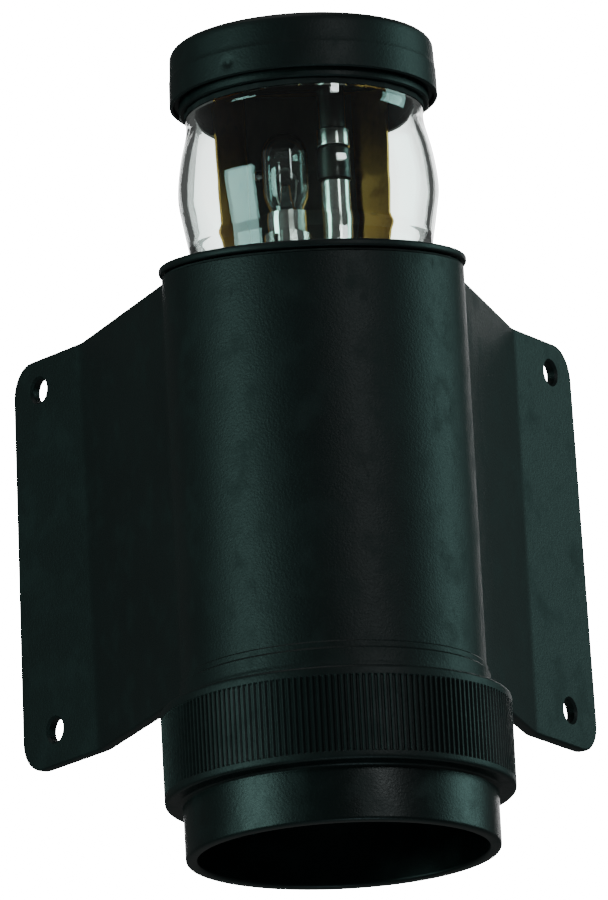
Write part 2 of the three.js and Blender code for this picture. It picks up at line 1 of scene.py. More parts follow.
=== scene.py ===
import json
from math import atan2, ceil, cos, degrees, exp, pi, radians, sin, sqrt, tan, tau

import bmesh
import bpy
from mathutils import Matrix, Vector


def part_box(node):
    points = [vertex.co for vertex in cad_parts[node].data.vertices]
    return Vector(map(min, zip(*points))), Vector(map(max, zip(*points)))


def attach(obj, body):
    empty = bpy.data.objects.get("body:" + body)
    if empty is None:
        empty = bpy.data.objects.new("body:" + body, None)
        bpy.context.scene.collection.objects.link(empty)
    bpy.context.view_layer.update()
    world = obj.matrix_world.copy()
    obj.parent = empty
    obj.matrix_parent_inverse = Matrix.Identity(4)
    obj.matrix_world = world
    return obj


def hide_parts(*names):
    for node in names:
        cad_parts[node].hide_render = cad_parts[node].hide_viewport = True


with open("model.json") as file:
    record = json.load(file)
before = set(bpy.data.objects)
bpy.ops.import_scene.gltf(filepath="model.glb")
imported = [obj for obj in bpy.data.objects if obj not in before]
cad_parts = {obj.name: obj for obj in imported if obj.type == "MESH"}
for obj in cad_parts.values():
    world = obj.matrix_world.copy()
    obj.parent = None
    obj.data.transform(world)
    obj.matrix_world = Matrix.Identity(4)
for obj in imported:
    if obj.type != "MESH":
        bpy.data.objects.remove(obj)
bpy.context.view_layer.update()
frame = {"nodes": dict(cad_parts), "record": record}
mm = 0.001

# Shapes are drawn in millimetres about the light's own axis, with zero height at the screw ring's lip.
ringLow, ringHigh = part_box("deck_light_ring")
axisFoot = Vector(((ringLow.x + ringHigh.x) / 2, (ringLow.y + ringHigh.y) / 2, ringLow.z))
print("frame loaded")


# ---- camera, light and floor ----

camera = {
    "azimuth": -4.2, "elevation": -14.53, "roll": -3.06,      # degrees
    "distance": 2.5, "aside": -0.00375, "aimHeight": 0.0855,  # metres
    "lens": 486.8,
}


def makeCamera():
    turn, rise, roll = (radians(camera[key]) for key in ("azimuth", "elevation", "roll"))
    back = Vector((sin(turn) * cos(rise), -cos(turn) * cos(rise), sin(rise)))
    right = (-back).cross(Vector((0, 0, 1))).normalized()
    up = right.cross(-back)
    across = right * cos(roll) + up * sin(roll)
    above = up * cos(roll) - right * sin(roll)
    place = (axisFoot + Vector((0, 0, camera["aimHeight"]))
             + back * camera["distance"] + across * camera["aside"])
    data = bpy.data.cameras.new("camera")
    data.lens = camera["lens"]
    data.clip_end = 100
    holder = bpy.data.objects.new("camera", data)
    bpy.context.scene.collection.objects.link(holder)
    holder.matrix_world = Matrix.Translation(place) @ Matrix((across, above,
        back)).transposed().to_4x4()
    bpy.context.scene.camera = holder


studio = {
    # name: place, size, power, colour
    "leftSoftbox": ((-1.5, -0.7, 0.1), 0.8, 15, (0.54, 1.0, 0.92)),
    "rightSoftbox": ((1.55, 0.15, 0.45), 0.8, 9, (0.52, 1.0, 0.93)),
    "frontKey": ((0.85, -1.75, 0.62), 0.25, 6.5, (0.9, 1.0, 1.0)),
    "mouthFill": ((0.25, -0.9, -1.4), 0.5, 3, (0.6, 0.92, 1.0)),
    "topFill": ((-0.3, -0.3, 1.9), 1.2, 6, (1.0, 1.0, 1.0)),
    "backFill": ((0.3, 2.0, 0.9), 1.4, 20, (1.0, 1.0, 1.0)),
}
floorLook = {"height": -2.2, "size": 40, "shade": (0.86, 0.86, 0.85, 1)}
roomLook = {"asLight": 0.09, "throughClear": 0.85, "asBackdrop": 22}


def makeLights():
    for name, (place, size, power, colour) in studio.items():
        data = bpy.data.lights.new(name, "AREA")
        data.size = size
        data.energy = power
        data.color = colour
        holder = bpy.data.objects.new(name, data)
        holder.location = place
        holder.rotation_euler = (-Vector(place)).to_track_quat("-Z", "Y").to_euler()
        bpy.context.scene.collection.objects.link(holder)


# ---- shader expressions ----

class Field:
    # A socket that can be used in sums; every operator adds a Math node.
    def __init__(self, finish, socket):
        self.finish, self.socket = finish, socket

    def maths(self, operation, *values):
        return self.finish.field("ShaderNodeMath", {"operation": operation}, dict(enumerate(values)))

    def __add__(self, other):
        return self.maths("ADD", self, other)

    def __radd__(self, other):
        return self.maths("ADD", other, self)

    def __sub__(self, other):
        return self.maths("SUBTRACT", self, other)

    def __rsub__(self, other):
        return self.maths("SUBTRACT", other, self)

    def __mul__(self, other):
        return self.maths("MULTIPLY", self, other)

    def __truediv__(self, other):
        return self.maths("DIVIDE", self, other)

    def within(self, low, high):
        # 0 below low, 1 above high, smooth between them
        return self.finish.field("ShaderNodeMapRange", {"interpolation_type": "SMOOTHSTEP"},
                                 {"Value": self, "From Min": low, "From Max": high})


class Finish:
    def __init__(self, name):
        self.material = bpy.data.materials.new(name)
        self.material.use_nodes = True
        self.tree = self.material.node_tree
        self.tree.nodes.clear()
        self.spot = self.field("ShaderNodeTexCoord", output="Object")

    def node(self, kind, settings=None, sockets=None):
        made = self.tree.nodes.new(kind)
        for key, value in (settings or {}).items():
            if key == "stops":
                while len(made.color_ramp.elements) < len(value):
                    made.color_ramp.elements.new(0.5)
                for element, (position, colour) in zip(made.color_ramp.elements, value):
                    element.position, element.color = position, (*colour, 1)
            else:
                setattr(made, key, value)
        for key, value in (sockets or {}).items():
            if isinstance(value, Field):
                self.tree.links.new(value.socket, made.inputs[key])
            else:
                made.inputs[key].default_value = value
        return made

    def field(self, kind, settings=None, sockets=None, output=0):
        return Field(self, self.node(kind, settings, sockets).outputs[output])

    def noise(self, size, detail=3, stretch=(1, 1, 1), roughness=0.55):
        # size is the width of one blotch in millimetres
        place = self.field("ShaderNodeVectorMath", {"operation": "MULTIPLY"},
            {0: self.spot, 1: stretch})
        return self.field("ShaderNodeTexNoise", {}, {
            "Vector": place, "Scale": 1 / (size * mm), "Detail": detail, "Roughness": roughness})

    def cells(self, size):
        return self.field("ShaderNodeTexVoronoi", {"feature": "SMOOTH_F1"},
                          {"Vector": self.spot, "Scale": 1 / (size * mm), "Smoothness": 0.6})

    def height(self):
        # millimetres above the screw ring's lip
        parts = self.node("ShaderNodeSeparateXYZ", {}, {0: self.spot})
        return (Field(self, parts.outputs[2]) - axisFoot.z) / mm

    def blend(self, factor, first, second):
        return self.field("ShaderNodeMix", {"data_type": "RGBA"}, {0: factor, 6: first, 7: second},
            output=2)

    def bump(self, relief, depth, strength=1.0):
        # depth is the relief's height in millimetres
        return self.field("ShaderNodeBump", {},
            {"Height": relief, "Distance": depth * mm, "Strength": strength})

    def surface(self, **sockets):
        named = {key.replace("_", " "): value for key, value in sockets.items()}
        shader = self.node("ShaderNodeBsdfPrincipled", {}, named)
        output = self.node("ShaderNodeOutputMaterial")
        self.tree.links.new(shader.outputs[0], output.inputs[0])
        return self.material


def colour(red, green, blue):
    return (red, green, blue, 1)


# ---- finishes ----

moulding = {
    "deep": colour(0.0022, 0.0050, 0.0048), "worn": colour(0.0050, 0.0105, 0.0100),
    "grain": 0.55, "grainDepth": 0.055, "gloss": 0.42, "shine": 0.26,
    "skirtGloss": 0.13, "skirtRelief": 0.35,
}


def mouldedBlack(name, grain=1.0, smoothBelow=None):
    # Black moulded plastic with an even fine grain, chalked a little where it has weathered.
    finish = Finish(name)
    coarse = finish.noise(26, 4)
    chalk = finish.noise(7, 5).within(0.46, 0.72)
    rubbed = finish.noise(1.5, 4, (1, 1, 0.35)).within(0.60, 0.74)
    weathered = chalk * 0.55 + coarse.within(0.35, 0.75) * 0.45
    pits = finish.cells(moulding["grain"]) * 0.6 + finish.noise(moulding["grain"] * 0.55, 2) * 0.6
    rough = moulding["gloss"] + chalk * 0.10 + rubbed * 0.06 + finish.noise(0.5, 2) * 0.12
    relief = pits * grain
    if smoothBelow is not None:  # the turned skirt of the screw ring is smoother than its ribs
        skirt = 1 - finish.height().within(smoothBelow - 0.6, smoothBelow)
        rough = rough - skirt * moulding["skirtGloss"]
        relief = relief * (1 - skirt * moulding["skirtRelief"])
    return finish.surface(
        Base_Color=finish.blend(weathered, moulding["deep"], moulding["worn"]),
        Roughness=rough, Normal=finish.bump(relief, moulding["grainDepth"]),
        Specular_IOR_Level=moulding["shine"])


def softRubber(name):
    finish = Finish(name)
    bloom = finish.noise(4, 4).within(0.4, 0.7)
    return finish.surface(
        Base_Color=finish.blend(bloom, colour(0.006, 0.0065, 0.007), colour(0.02, 0.021, 0.021)),
        Roughness=0.72 + bloom * 0.15, Normal=finish.bump(finish.noise(0.3, 2), 0.03),
            Specular_IOR_Level=0.3)


clearLook = {"lensTint": colour(0.90, 0.955, 0.935), "glassTint": colour(0.95, 0.975, 0.97)}


def clearMoulding(name, tint, index, haze):
    # A clear moulding with a faint haze of handling and fine rubbing marks.
    finish = Finish(name)
    smear = finish.noise(9, 4, (1, 1, 0.4)).within(0.50, 0.78)
    marks = finish.noise(0.8, 3, (1, 1, 0.08)).within(0.62, 0.75)
    return finish.surface(
        Base_Color=finish.blend(smear * 0.35, tint, colour(0.80, 0.86, 0.84)),
        Roughness=0.012 + smear * haze + marks * haze * 0.6, IOR=index, Transmission_Weight=1.0,
        Normal=finish.bump(finish.noise(14, 2), 0.10, 0.35))


def sheetMetal(name, dark, light, gloss, brushing, tarnish):
    # Rolled or turned metal: fine lines along it, with tarnish in blotches.
    finish = Finish(name)
    lines = finish.noise(0.35, 3, brushing)
    stain = finish.noise(5, 5).within(0.45, 0.75) * tarnish
    return finish.surface(
        Base_Color=finish.blend(stain + lines * 0.18, light, dark), Metallic=1.0,
        Roughness=gloss + lines * 0.10 + stain * 0.22, Normal=finish.bump(lines, 0.006, 0.6))


def bakedCeramic(name):
    finish = Finish(name)
    speck = finish.noise(0.5, 3).within(0.62, 0.72)
    return finish.surface(
        Base_Color=finish.blend(speck, colour(0.74, 0.70, 0.62), colour(0.50, 0.45, 0.38)),
        Roughness=0.58 + finish.noise(2, 3) * 0.15, Normal=finish.bump(finish.noise(0.4, 3), 0.03))


def plainMoulding(name, base, shade, gloss):
    # Smooth moulded plastic or wire insulation: slight flow marks and an even sheen.
    finish = Finish(name)
    flow = finish.noise(3, 4, (1, 1, 0.4)).within(0.35, 0.7)
    return finish.surface(
        Base_Color=finish.blend(flow, base, shade), Roughness=gloss + flow * 0.1,
        Normal=finish.bump(finish.noise(0.5, 2), 0.02))


def lampMirror(name):
    # Vapour-coated glass: bright, with a faint gold and blue play of colour.
    finish = Finish(name)
    film = finish.noise(11, 2).within(0.3, 0.7)
    return finish.surface(
        Base_Color=finish.blend(film, colour(0.86, 0.84, 0.76), colour(0.74, 0.80, 0.88)), Metallic=1.0,
        Roughness=0.05 + finish.noise(1.2, 3) * 0.05,
            Normal=finish.bump(finish.noise(2.2, 2), 0.02, 0.5))


finishes = {
    "black_plastic": mouldedBlack("moulded black"),
    "black_rubber": softRubber("soft rubber"),
    "lens_clear": clearMoulding("clear lens moulding", clearLook["lensTint"], 1.49, 0.05),
    "glass_clear": clearMoulding("clear glass", clearLook["glassTint"], 1.5, 0.02),
    "shield_bronze": sheetMetal("shield bronze", colour(0.16, 0.05, 0.014), colour(0.62, 0.26, 0.07),
        0.24, (6, 6, 0.15), 0.55),
    "terminal_brass": sheetMetal("terminal brass", colour(0.30, 0.19, 0.07), colour(0.80, 0.60, 0.28),
        0.24, (1, 1, 1), 0.4),
    "nickel_plate": sheetMetal("nickel plate", colour(0.30, 0.29, 0.26), colour(0.78, 0.78, 0.74),
        0.14, (4, 4, 0.3), 0.35),
    "stainless": sheetMetal("stainless steel", colour(0.26, 0.26, 0.27), colour(0.66, 0.67, 0.68),
        0.22, (2, 2, 0.5), 0.3),
    "dark_phenolic": plainMoulding("dark laminate", colour(0.016, 0.013, 0.011),
        colour(0.034, 0.026, 0.020), 0.36),
    "white_ceramic": bakedCeramic("white ceramic"),
    "lamp_mirror": lampMirror("lamp mirror"),
    "filament": sheetMetal("filament wire", colour(0.12, 0.11, 0.10), colour(0.36, 0.35, 0.33), 0.35,
        (1, 1, 1), 0.2),
    "red_insulation": plainMoulding("red insulation", colour(0.42, 0.016, 0.014),
        colour(0.30, 0.010, 0.010), 0.38),
    "black_insulation": plainMoulding("black insulation", colour(0.012, 0.012, 0.013),
        colour(0.022, 0.022, 0.023), 0.4),
    "pale_nylon": plainMoulding("pale nylon", colour(0.70, 0.68, 0.62), colour(0.60, 0.575, 0.51),
        0.42),
}
ringFinish = mouldedBlack("moulded black of the screw ring", 0.8, smoothBelow=12.4)
capFinish = mouldedBlack("moulded black of the cap", 0.7)
print("finishes made")


# ---- mesh tools ----

def softened(profile, radius, steps=4):
    # Rounds the corners of a profile. It closes on itself unless it starts on the axis.
    closed = profile[0][0] > 0
    points = []
    for i, point in enumerate(profile):
        corner = Vector(point)
        behind, ahead = Vector(profile[i - 1]) - corner, Vector(profile[(i + 1) % len(profile)]) - corner
        atEnd = not closed and i in (0, len(profile) - 1)
        if atEnd or behind.angle(ahead) > radians(165):
            points.append(tuple(corner))
            continue
        reach = min(radius / tan(behind.angle(ahead) / 2), behind.length * 0.45, ahead.length * 0.45)
        start, end = corner + behind.normalized() * reach, corner + ahead.normalized() * reach
        for k in range(steps + 1):
            t = k / steps
            points.append(tuple(start * (1 - t) ** 2 + corner * 2 * t * (1 - t) + end * t * t))
    return points


def lathe(profile, sides, shape=None, centre=(0, 0)):
    # A solid of revolution from [radius, height], the outside on the way up. shape may move a point.
    points, rows, faces = [], [], []
    for r, z in profile:
        if r < 1e-6:
            rows.append([len(points)] * sides)
            points.append(Vector((*centre, z)))
            continue
        rows.append(list(range(len(points), len(points) + sides)))
        for i in range(sides):
            turn = tau * i / sides
            reach, level = shape(turn, r, z) if shape else (r, z)
            points.append(Vector((centre[0] + reach * cos(turn), centre[1] + reach * sin(turn), level)))
    closed = profile[0][0] > 1e-6
    for low, high in zip(rows, rows[1:] + rows[:1] if closed else rows[1:]):
        for i in range(sides):
            j = (i + 1) % sides
            corners = list(dict.fromkeys((low[i], low[j], high[j], high[i])))
            faces.append(corners)
    return points, faces


def strand(path, radius, sides=8):
    # A round wire along points; its frame is carried from each point to the next.
    path = [Vector(p) for p in path]
    points, faces = [], []
    normal = None
    for i, point in enumerate(path):
        along = (path[min(i + 1, len(path) - 1)] - path[max(i - 1, 0)]).normalized()
        if normal is None:
            normal = along.orthogonal().normalized()
        normal = (normal - along * normal.dot(along)).normalized()
        side = along.cross(normal)
        points += [point + (normal * cos(tau * k / sides) + side * sin(tau * k / sides)) * radius
            for k in range(sides)]
    for i in range(len(path) - 1):
        for k in range(sides):
            a, b = i * sides + k, i * sides + (k + 1) % sides
            faces.append([a, b, b + sides, a + sides])
    faces += [list(range(sides))[::-1], list(range(len(points) - sides, len(points)))]
    return points, faces


def moved(shape, matrix):
    points, faces = shape
    return [matrix @ p for p in points], faces


def together(*shapes):
    points, faces = [], []
    for shapePoints, shapeFaces in shapes:
        first = len(points)
        points += shapePoints
        faces += [[first + i for i in face] for face in shapeFaces]
    return points, faces


def solid(name, shape):
    points, faces = shape
    mesh = bpy.data.meshes.new(name)
    mesh.from_pydata([axisFoot + p * mm for p in points], [], faces)
    work = bmesh.new()
    work.from_mesh(mesh)
    bmesh.ops.recalc_face_normals(work, faces=work.faces)
    work.to_mesh(mesh)
    work.free()
    made = bpy.data.objects.new(name, mesh)
    bpy.context.scene.collection.objects.link(made)
    return made


def shapeOf(made):
    # Takes a shape back out of an object, in millimetres, so that it can be mirrored or joined on.
    shape = ([(v.co - axisFoot) / mm for v in made.data.vertices],
             [list(face.vertices) for face in made.data.polygons])
    bpy.data.objects.remove(made)
    return shape


def carved(target, tools, operation="DIFFERENCE"):
    helpers = [solid("tool", tool) for tool in tools]
    for helper in helpers:
        step = target.modifiers.new("carve", "BOOLEAN")
        step.operation, step.solver, step.object = operation, "EXACT", helper
    bpy.context.view_layer.update()
    mesh = bpy.data.meshes.new_from_object(target.evaluated_get(bpy.context.evaluated_depsgraph_get()))
    target.modifiers.clear()
    target.data = mesh
    for helper in helpers:
        bpy.data.objects.remove(helper)
    return target


def fitted(made, body, nodes, slotName, material=None, sharpAngle=38):
    # Gives a finished shape its shading, material and place on its body.
    for face in made.data.polygons:
        face.use_smooth = sharpAngle > 0
    if sharpAngle > 0:
        made.data.set_sharp_from_angle(angle=radians(sharpAngle))
        made.modifiers.new("even shading", "WEIGHTED_NORMAL").keep_sharp = True
    made.data.materials.clear()
    made.data.materials.append(material or finishes[slotName])
    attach(made, body)
    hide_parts(*nodes)
    return made


def rows(low, high, spacing):
    count = max(1, ceil(abs(high - low) / spacing))
    return [low + (high - low) * i / count for i in range(count + 1)]


def ridge(turn, z, pitch, start, end):
    # 1 on the crest of a right-hand thread and 0 at its root
    if not start - pitch / 4 <= z <= end + pitch / 4:
        return 0
    offset = ((z - start) / pitch - turn / tau + 0.5) % 1 - 0.5
    return min(1, max(0, (0.26 - abs(offset)) / 0.16))


def heading(angle):
    return Vector((cos(radians(angle)), sin(radians(angle))))


def arcPoints(centre, radius, start, end, steps):
    return [centre + heading(start + (end - start) * i / steps) * radius for i in range(steps + 1)]


tilt = 6.5  # degrees: the housing's top is lower at the front


def leaning(height):
    return Matrix.Translation((0, 0, height)) @ Matrix.Rotation(radians(tilt), 4, "X")


def pointingBack(x, y, z):
    return Matrix.Translation((x, y, z)) @ Matrix.Rotation(radians(-90), 4, "X")


# ---- housing ----

housing = {
    "radius": 31.2, "bore": 28.6, "spigot": 32.1, "spigotBottom": 21, "bandBottom": 33, "band": 31.9,
    "bandTop": 36.2, "seam": 37.7, "topPlane": 122.9, "tallest": 130, "sides": 256,
}
wing = {
    "bottom": 36.6, "top": 124.7, "thickness": 2.6, "fold": Vector((45.7, 53.9)), "angle": 71.5,
        "flangeAngle": 56,
    "rootFillet": 12, "backFillet": 5, "foldRadius": 9, "flangeTop": 24.2, "flangeBottom": 27.2,
    "corner": 7, "rim": 0.6, "hole": 2.5, "holeAlong": 15.4, "holeHeights": (118, 44.4), "buried": 29.9,
}
screwThread = {"pitch": 3, "depth": 1.2, "start": 22.3, "end": 29.7}
cableHole = {"radius": 5.2, "height": 104.5}
bosses = {"ring": 20, "angles": (270, 10, 170)}


def filletCentre(point, along, normal, fillet):
    start = point + normal * fillet
    middle = start.dot(along)
    return start + along * (sqrt(middle ** 2 - start.length_squared
        + (housing["radius"] + fillet) ** 2) - middle)


def wingShape():
    along, out = heading(wing["angle"]), heading(wing["angle"] - 90)
    flangeAlong, flangeOut = heading(wing["flangeAngle"]), heading(wing["flangeAngle"] - 90)
    fold, thickness, foldRadius = wing["fold"], wing["thickness"], wing["foldRadius"]
    inner = fold - out * thickness
    frontCentre = filletCentre(fold, along, out, wing["rootFillet"])
    backCentre = filletCentre(inner, along, -out, wing["backFillet"])
    halfTurn = (wing["angle"] - wing["flangeAngle"]) / 2
    bend = fold + heading(wing["angle"] - halfTurn - 90) * (foldRadius / cos(radians(halfTurn)))
    angleOf = lambda v: degrees(atan2(v.y, v.x))
    front = arcPoints(frontCentre, wing["rootFillet"], angleOf(frontCentre) + 180, wing["angle"] + 90,
        12)
    back = arcPoints(backCentre, wing["backFillet"], angleOf(backCentre) - 180, wing["angle"] - 90, 12)
    front.insert(0, front[0].normalized() * wing["buried"])
    back.insert(0, back[0].normalized() * wing["buried"])
    frontFold = arcPoints(bend, foldRadius, wing["angle"] + 90, wing["flangeAngle"] + 90, 8)
    backFold = arcPoints(bend, foldRadius + thickness, wing["angle"] + 90, wing["flangeAngle"] + 90, 8)
    straight = 6
    front += [front[-1].lerp(frontFold[0], i / straight) for i in range(1, straight)] + frontFold
    back += [back[-1].lerp(backFold[0], i / straight) for i in range(1, straight)] + backFold
    plan = len(front)
    corner, rim, reach = wing["corner"], wing["rim"], wing["flangeBottom"]
    flats = [3, 7, 11, 15, reach - corner]
    arcs = [90 * (i + 1) / 10 for i in range(10)]
    columns, levels = plan + len(flats) + len(arcs), []
    for k in range(4):
        angle = radians(30 * k)
        levels.append((rim * (1 - sin(angle)), rim * (1 - cos(angle))))  # inset, depth from the face
    levels += [(inset, thickness - depth) for inset, depth in reversed(levels)]
    rowCount = 22

    def place(level, column, row):
        inset, depth = levels[level]
        sweep = 0 if column < plan + len(flats) else radians(arcs[column - plan - len(flats)])
        lift = inset + (corner - inset) * (1 - cos(sweep))
        z = wing["bottom"] + lift + (wing["top"] - wing["bottom"] - 2 * lift) * row / rowCount
        if column < plan:
            spot = front[column].lerp(back[column], depth / thickness)
            return Vector((spot.x, spot.y, z))
        distance = (flats[column - plan] if column < plan + len(flats)
                    else reach - corner + (corner - inset) * sin(sweep))
        share = (z - wing["bottom"]) / (wing["top"] - wing["bottom"])
        narrow = (wing["flangeBottom"] - wing["flangeTop"]) * share * (distance - flats[0]) / (reach
            - flats[0])
        spot = fold + flangeAlong * (distance - narrow) - flangeOut * depth
        return Vector((spot.x, spot.y, z))

    points, index, faces = [], {}, []
    last = columns - 1
    for level in range(len(levels)):
        for column in range(columns):
            for row in range(rowCount + 1):
                if level in (0, len(levels) - 1) or column == last or row in (0, rowCount):
                    index[level, column, row] = len(points)
                    points.append(place(level, column, row))
    for level in (0, len(levels) - 1):
        for k in range(last):
            for r in range(rowCount):
                faces.append([index[level, k, r], index[level, k + 1, r], index[level, k + 1, r + 1],
                    index[level, k, r + 1]])
    edge = [(k, 0) for k in range(columns)] + [(last, r) for r in range(1, rowCount)]
    edge += [(k, rowCount) for k in reversed(range(columns))]
    for level in range(len(levels) - 1):
        for a, b in zip(edge, edge[1:]):
            faces.append([index[level, *a], index[level, *b], index[level + 1, *b],
                index[level + 1, *a]])
    top = len(levels) - 1
    root = ([index[0, 0, r] for r in range(rowCount + 1)]
            + [index[level, 0, rowCount] for level in range(1, top)])
    root += ([index[top, 0, r] for r in reversed(range(rowCount + 1))]
             + [index[level, 0, 0] for level in reversed(range(1, top))])
    return points, faces + [root]


def mirroredShape(shape):
    return moved(shape, Matrix.Scale(-1, 4, (1, 0, 0)))


def screwHole(height):
    # The cutter is waisted, so that both rims of the hole come out rounded.
    half, r = wing["thickness"] / 2, wing["hole"]
    profile = [(0, -half - 3), (r + 3, -half - 3), (r + 0.5, -half), (r, -half + 0.5),
        (r, half - 0.5), (r + 0.5, half),
               (r + 3, half + 3), (0, half + 3)]
    spot = (wing["fold"] + heading(wing["flangeAngle"]) * wing["holeAlong"]
            - heading(wing["flangeAngle"] - 90) * half)
    facing = Matrix.Rotation(radians(wing["flangeAngle"]), 4, "Z") @ Matrix.Rotation(radians(90), 4,
        "X")
    return moved(lathe(profile, 48), Matrix.Translation((spot.x, spot.y, height)) @ facing)


def makeHousing():
    h, thread = housing, screwThread

    def threaded(turn, r, z):
        if abs(r - h["spigot"]) < 0.01:
            return r + thread["depth"] * ridge(turn, z, thread["pitch"], thread["start"],
                thread["end"]), z
        return r, z

    spigotRows = [(h["spigot"], z) for z in rows(h["spigotBottom"] + 0.6, h["bandBottom"] - 0.4, 0.3)]
    profile = [(h["bore"], h["spigotBottom"]), (h["spigot"] - 0.6, h["spigotBottom"]), *spigotRows,
               (h["spigot"] - 0.1, h["bandBottom"]), (h["band"], h["bandBottom"] + 0.5),
                   (h["band"], h["bandTop"] - 0.3),
               (h["band"] - 0.3, h["bandTop"]), (h["radius"] + 0.25, h["bandTop"] + 0.15),
                   (h["radius"] + 0.25, h["seam"] - 0.3),
               (h["radius"], h["seam"]), *[(h["radius"], z)
                   for z in rows(h["seam"] + 1, h["tallest"], 4)],
               *[(h["bore"], z) for z in rows(h["tallest"], h["spigotBottom"] + 4, 8)]]
    body = solid("housing_shell", lathe(profile, h["sides"], threaded))
    right = shapeOf(carved(solid("right_wing", wingShape()),
        [screwHole(height) for height in wing["holeHeights"]]))
    carved(body, [right, mirroredShape(right)], "UNION")
    slug = moved(lathe([(0, 0), (h["radius"] + 1, 0), (h["radius"] + 1, 20), (0, 20)], 192),
        leaning(h["topPlane"]))
    inlet = moved(lathe([(0, 20), (cableHole["radius"], 20), (cableHole["radius"], 40), (0, 40)], 64),
                  pointingBack(0, 0, cableHole["height"]))
    carved(body, [slug, inlet])
    return fitted(body, "housing", ["housing"], "black_plastic")


makeHousing()
print("housing made")


# ---- screw ring of the deck light ----

ring = {
    "radius": 36, "top": 31.5, "stepBottom": 11.9, "skirt": 32.3, "mouth": 29.8, "ledge": 15.5,
    "bore": 33.9, "ribs": 180, "ribDepth": 0.42, "ribsFrom": 13.9, "ribsTo": 29.2, "sidesPerRib": 4,
}
nutThread = {"pitch": 3, "depth": 1.2, "start": 23.8, "end": 29.7}


def makeRing():
    r, thread = ring, nutThread

    def shape(turn, radius, z):
        if radius > r["radius"] - 0.01 and r["ribsFrom"] <= z <= r["ribsTo"]:
            corner = round(turn / tau * r["ribs"] * r["sidesPerRib"]) % r["sidesPerRib"]
            return radius - r["ribDepth"] * (corner in (2, 3)), z
        if abs(radius - r["bore"]) < 0.01:
            return radius - thread["depth"] * ridge(turn, z, thread["pitch"], thread["start"],
                thread["end"]), z
        return radius, z

    outer = softened([
        (r["mouth"], 0), (r["skirt"], 0), (r["skirt"], r["stepBottom"]), (r["radius"], r["stepBottom"]),
        (r["radius"], r["top"]), (r["bore"], r["top"]),
        *[(r["bore"], z) for z in rows(r["top"] - 0.8, 22, 0.5)], (r["bore"], r["ledge"]),
            (r["mouth"], r["ledge"])], 0.9, 5)
    profile = []
    for point, after in zip(outer, outer[1:] + outer[:1]):
        profile.append(point)
        if point[0] == after[0] == r["radius"] or (abs(point[0] - r["radius"]) < 1e-4 and after[1]
            - point[1] > 10):
            profile += [(r["radius"], z) for z in (r["ribsFrom"] - 0.35, r["ribsFrom"], r["ribsTo"],
                r["ribsTo"] + 0.35)]
    made = solid("deck_screw_ring", lathe(profile, r["ribs"] * r["sidesPerRib"], shape))
    return fitted(made, "deck_ring", ["deck_light_ring"], "black_plastic", ringFinish)


makeRing()
print("screw ring made")


# ---- deck light glass and lamp ----

deckGlass = {"radius": 32.9, "bottom": 15.8, "top": 19.4}
reflector = {"rim": 25.2, "bowl": 23.8, "rimBottom": 22.6, "bowlBottom": 24.3, "neck": 44,
    "neckRadius": 6.5,
             "top": 52, "wall": 1.3, "facets": 40, "rings": 12}


def makeDeckLamp():
    g, m = deckGlass, reflector
    pane = softened([(0, g["bottom"]), (g["radius"], g["bottom"]), (g["radius"], g["top"]),
        (0, g["top"])], 0.6)
    fitted(solid("deck_pane", lathe(pane, 128)), "deck_glass_stack", ["deck_glass"], "glass_clear")

    def bowl(inset):
        steps = [i / m["rings"] for i in range(m["rings"] + 1)]
        return [(max((m["bowl"] - inset) * sqrt(1 - share * 0.93), m["neckRadius"] - inset),
                 m["bowlBottom"] + (m["neck"] - m["bowlBottom"]) * share) for share in steps]

    profile = [(m["rim"] - 0.3, m["rimBottom"]), (m["rim"], m["rimBottom"] + 0.3),
        (m["rim"], m["bowlBottom"]), *bowl(0),
               (m["neckRadius"], m["top"] - 0.5), (m["neckRadius"] - 0.5, m["top"]), (4.5, m["top"]),
                   (4.5, m["neck"]),
               *reversed(bowl(m["wall"])), (m["bowl"] - m["wall"], m["rimBottom"])]
    # the bowl stays flat-faced: its facets throw the beam
    fitted(solid("deck_lamp_bowl", lathe(profile, m["facets"])), "housing", ["deck_lamp_reflector"],
        "lamp_mirror",
           sharpAngle=0)
    cover = softened([(0, 22.9), (22.1, 22.9), (22.1, 24), (0, 24)], 0.3)
    fitted(solid("deck_lamp_pane", lathe(cover, 96)), "housing", ["deck_lamp_cover"], "glass_clear")
    capsule = [(0, 27.4), (0.7, 27.45), (1.4, 27.8), (2.4, 28.7), (3.2, 29.9), (3.7, 31.4), (3.8, 33),
        (3.8, 36.4), (3.5, 38),
               (2.8, 39.2), (2.4, 40.2), (2.4, 41.4), (2.1, 41.7), (0, 41.7)]
    fitted(solid("deck_lamp_bulb", lathe(capsule, 40)), "housing", ["deck_lamp_capsule"], "glass_clear")


makeDeckLamp()
print("deck light made")


# ---- masthead base and its collar ----

collar = {"radius": 31.8, "centre": 124.6, "thickness": 1.6, "cup": 28.1, "cupBottom": 111.8,
    "floor": 114.4, "bore": 26.4}
baseThread = {"pitch": 2, "depth": 1.0, "start": 116.2, "end": 120.6}


